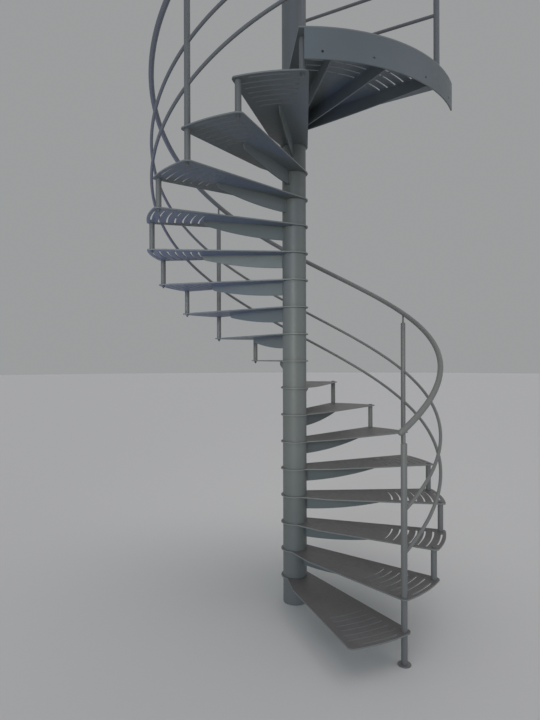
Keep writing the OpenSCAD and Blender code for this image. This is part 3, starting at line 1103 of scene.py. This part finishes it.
# %% Parts of the helix tree
def helix_place(tree, share, given):
    """Where a point lies that has gone a share of the way up."""
    angle = math_node(tree, "MULTIPLY_ADD", share, given["Turn"], given["From angle"])
    return put(tree, "ShaderNodeCombineXYZ", {
        0: math_node(tree, "MULTIPLY", given["Radius"], math_node(tree, "COSINE", angle)),
        1: math_node(tree, "MULTIPLY", given["Radius"], math_node(tree, "SINE", angle)),
        2: math_node(tree, "MULTIPLY_ADD", share, given["Climb"], given["Low end"]),
    }).outputs[0]


def end_size(tree, share, given):
    """Size of the section as a share: a quarter circle near rounded ends, and 1 elsewhere."""
    nearer = math_node(tree, "MINIMUM", share, math_node(tree, "SUBTRACT", 1.0, share))
    from_end = math_node(tree, "MULTIPLY", nearer, given["Length"])
    in_radii = math_node(tree, "DIVIDE", from_end, given["Bar radius"])
    inside = math_node(tree, "SUBTRACT", 1.0, math_node(tree, "MINIMUM", in_radii, 1.0))
    squared = math_node(tree, "POWER", inside, 2.0)
    ball = math_node(tree, "SQRT", math_node(tree, "SUBTRACT", 1.0, squared))
    open_end = math_node(tree, "SUBTRACT", 1.0, given["Round ends"])
    return math_node(tree, "MAXIMUM", ball, open_end)


# %% Helix tree
def make_helix_tree():
    tree, given = new_tree("helix_bar", {
        "Radius": "Float", "From angle": "Float", "Turn": "Float", "Low end": "Float",
        "Climb": "Float", "Bar radius": "Float", "Length": "Float", "Round ends": "Float",
        "Stations": "Int", "Sides": "Int", "Material": "Material",
    })
    line = put(tree, "GeometryNodeMeshLine", {"Count": given["Stations"], "Offset": (0, 0, 1)})
    index = tree.nodes.new("GeometryNodeInputIndex").outputs[0]
    even = math_node(tree, "DIVIDE", index, math_node(tree, "SUBTRACT", given["Stations"], 1.0))
    wave = math_node(tree, "COSINE", math_node(tree, "MULTIPLY", even, math.pi))
    share = math_node(tree, "MULTIPLY_ADD", wave, -0.5, 0.5)
    bent = put(tree, "GeometryNodeSetPosition", {
        "Geometry": line.outputs[0], "Position": helix_place(tree, share, given),
    })
    kept = put(tree, "GeometryNodeStoreNamedAttribute", {
        "Geometry": bent.outputs[0], "Name": "swell", "Value": end_size(tree, share, given),
    }, data_type="FLOAT", domain="POINT")
    curve = put(tree, "GeometryNodeMeshToCurve", {"Mesh": kept.outputs[0]})
    scale = put(tree, "GeometryNodeInputNamedAttribute", {"Name": "swell"}, data_type="FLOAT")
    ring = put(tree, "GeometryNodeCurvePrimitiveCircle", {
        "Resolution": given["Sides"], "Radius": given["Bar radius"],
    })
    bar = put(tree, "GeometryNodeCurveToMesh", {
        "Curve": curve.outputs[0], "Profile Curve": ring.outputs[0],
        "Scale": scale.outputs[0], "Fill Caps": True,
    })
    close_tree(tree, bar.outputs[0], given["Material"])
    return tree


helix_tree = make_helix_tree()
print("helix tree:", len(helix_tree.nodes), "nodes")

# %% Helix bars
LAST_ANGLE = START_ANGLE + (TREAD_COUNT - 1) * STEP_TURN
CLIMB_PER_ANGLE = RISE / STEP_TURN
RAIL_SLOPE = math.atan(CLIMB_PER_ANGLE / PILLAR_R)
RAIL_OVER = 0.026
ROD_R = 0.010
ROD_SEAT = 0.008
ROD_HEIGHTS = {"upper": 0.640, "lower": 0.412}


def helix_bar(height, bar_r, overrun, round_ends, stations, sides):
    """A bar along the helix at a height above the treads, going `overrun` past the end posts."""
    over_angle = overrun * math.cos(RAIL_SLOPE) / PILLAR_R
    turn = LAST_ANGLE - START_ANGLE + 2 * over_angle
    climb = turn * CLIMB_PER_ANGLE
    bar = grown(helix_tree, bpy.data.meshes.new("empty"), {
        "Radius": PILLAR_R, "From angle": START_ANGLE - over_angle, "Turn": turn,
        "Low end": RISE + height - over_angle * CLIMB_PER_ANGLE, "Climb": climb,
        "Bar radius": bar_r, "Length": math.hypot(turn * PILLAR_R, climb), "Round ends": round_ends,
        "Stations": stations, "Sides": sides, "Material": rail_paint,
    })
    return tidy_mesh(bar, ROUND_SHARP)


handrail = helix_bar(HANDRAIL_H, TUBE_R, RAIL_OVER + TUBE_R, round_ends=1.0, stations=300, sides=40)
show("handrail_tube", handrail, "rail_paint", "handrail")
for which, height in ROD_HEIGHTS.items():
    rod = helix_bar(height, ROD_R, -ROD_SEAT, round_ends=0.0, stations=240, sides=24)
    show(which + "_rail_rod", rod, "rail_paint", which + "_rod")

# %% [markdown]
# ## Landing
# The top of the stair is a plate as wide as three treads, cut with the same slots. Three ribs
# carry it, and a curved flange under its rim has the four holes by which it is bolted to the
# storey above. A guard like the stair's own railing stands on the far edge, from the column to
# a post at the rim.

# %% Landing plate
LANDING_R = 1.020
LANDING_STEPS = 3
FAR_DIR = FAR_TURN - REAR_TILT


def meets_rim(offset, across, along):
    """Angle at which a line beside the axis meets the landing's rim."""
    end = offset * across + math.sqrt(LANDING_R ** 2 - offset ** 2) * along
    return math.atan2(end.y, end.x)


def landing_outline():
    front_angle = meets_rim(FRONT_OFFSET, front_normal, front_unit)
    far_angle = meets_rim(RING_R, polar(1, FAR_DIR + RIGHT_ANGLE), polar(1, FAR_DIR))
    rim = arc(AXIS, LANDING_R, front_angle, far_angle, count=72)
    return hub_arc(FAR_DIR + RIGHT_ANGLE) + [front_knee] + rim


def turned_loop(loop, angle):
    turn = Matrix.Rotation(angle, 2)
    return [turn @ point for point in loop]


landing_loops = [landing_outline(), pole_hole]
landing_loops.append(round_hole(polar(PILLAR_R, -STEP_TURN), POST_HOLE_R))
landing_loops.append(round_hole(polar(PILLAR_R, FAR_TURN), STUD_HOLE_R))
for k in range(LANDING_STEPS):
    landing_loops += [turned_loop(hole, k * STEP_TURN) for hole in slot_holes()]
landing_deck = placed(cut_plate(landing_loops), on_landing)
show("landing_deck", landing_deck, "tread_paint", "landing_plate", sharp=PLATE_SHARP, paint=plate_paint)

# %% Ribs under the landing
RIB_TIP = 0.070
RIB_END = LANDING_R - PLATE_T
rib_underside = underside(LANDING_R + NOSE_R, RIB_TIP, RIB_END)
rib_side = against_column() + rib_underside + [Vector((RIB_END, -PLATE_T))]
rib_angles = [(k - 0.5) * STEP_TURN for k in range(LANDING_STEPS)]
ribs = joined([stood_up(cut_plate([rib_side]), angle) for angle in rib_angles])
show("deck_ribs", placed(ribs, on_landing), "tread_paint", "landing_ribs", sharp=PLATE_SHARP)
rib_beads = joined([
    placed(weld(bead_lines(RIB_END - BEAD_R, BEAD_R - GUSSET_DEPTH)), Matrix.Rotation(angle, 4, "Z"))
    for angle in rib_angles
])
show("rib_welds", placed(rib_beads, on_landing), "tread_paint", sharp=WELD_SHARP)

# %% [markdown]
# ### The flange
# A curved plate with holes is easiest to make flat. It is cut as a straight strip, sliced into
# narrow fields so that it can bend, and then rolled round the axis to the landing's radius.

# %% Flange
FLANGE_DEPTH = 0.150
FLANGE_SHIFT = math.radians(1.5)
FLANGE_FROM = FRONT_DIR - math.asin(FRONT_OFFSET / LANDING_R) + FLANGE_SHIFT
FLANGE_TO = FAR_TURN + FLANGE_SHIFT
FLANGE_HOLE_R = 0.007
FLANGE_HOLE_TURN = math.radians(5)
FLANGE_HOLE_Y = -PLATE_T - FLANGE_DEPTH * 0.75
FLANGE_FIELDS = 48


def rolled(strip, radius, start, fields):
    """Slices a flat strip across, and rolls it so that its top face lies at the radius."""
    shape = bmesh.new()
    shape.from_mesh(strip)
    length = max(vert.co.x for vert in shape.verts)
    for i in range(1, fields):
        everything = shape.verts[:] + shape.edges[:] + shape.faces[:]
        across = Vector((length * i / fields, 0, 0))
        bmesh.ops.bisect_plane(shape, geom=everything, plane_co=across, plane_no=(1, 0, 0))
    for vert in shape.verts:
        flat = polar(radius + vert.co.z, start + vert.co.x / radius)
        vert.co = (flat.x, flat.y, vert.co.y)
    shape.to_mesh(strip)
    shape.free()
    return strip


def flange_strip():
    length = (FLANGE_TO - FLANGE_FROM) * LANDING_R
    low = -PLATE_T - FLANGE_DEPTH
    outline = [Vector(p) for p in ((0, low), (length, low), (length, -PLATE_T), (0, -PLATE_T))]
    turns = [FLANGE_FROM + FLANGE_HOLE_TURN, 0, STEP_TURN, FLANGE_TO - FLANGE_HOLE_TURN]
    centres = [Vector(((turn - FLANGE_FROM) * LANDING_R, FLANGE_HOLE_Y)) for turn in turns]
    return cut_plate([outline] + [round_hole(centre, FLANGE_HOLE_R) for centre in centres])


flange = rolled(flange_strip(), LANDING_R, FLANGE_FROM, FLANGE_FIELDS)
show("deck_flange", placed(flange, on_landing), "tread_paint", "landing_flange", sharp=PLATE_SHARP)

# %% Guard on the far edge
GUARD_START = SLEEVE_R - SLEEVE_WALL / 2
GUARD_ROD_END = PILLAR_R - ROD_SEAT
GUARD_ROD_SIDES = 32
RAIL_TIP = PILLAR_R + RAIL_OVER + TUBE_R


def lying(outline, sides, height):
    """A turned piece laid down at a height, so that it points away from the column."""
    flat = placed(turned(outline, sides), Matrix.Rotation(RIGHT_ANGLE, 4, "Y"))
    return placed(flat, Matrix.Translation((0, 0, height)))


rail_ball = rounded_edge(TUBE_R, RAIL_TIP, TUBE_R, RIGHT_ANGLE, count=9)
rail_outline = [(0, GUARD_START), (TUBE_R, GUARD_START)] + rail_ball
rod_outline = [(0, GUARD_START), (ROD_R, GUARD_START), (ROD_R, GUARD_ROD_END), (0, GUARD_ROD_END)]
guard_rail = lying(rail_outline, TUBE_SIDES, HANDRAIL_H)
guard_rods = joined([lying(rod_outline, GUARD_ROD_SIDES, height) for height in ROD_HEIGHTS.values()])
show("guard_post", placed(long_post.copy(), on_far_edge), "rail_paint", "landing_post")
show("guard_pin", placed(pin.copy(), on_far_edge), "rail_paint", "landing_pin")
show("guard_rail", placed(guard_rail, on_far_edge), "rail_paint", "landing_rail")
show("guard_rods", placed(guard_rods, on_far_edge), "rail_paint", "landing_rods")
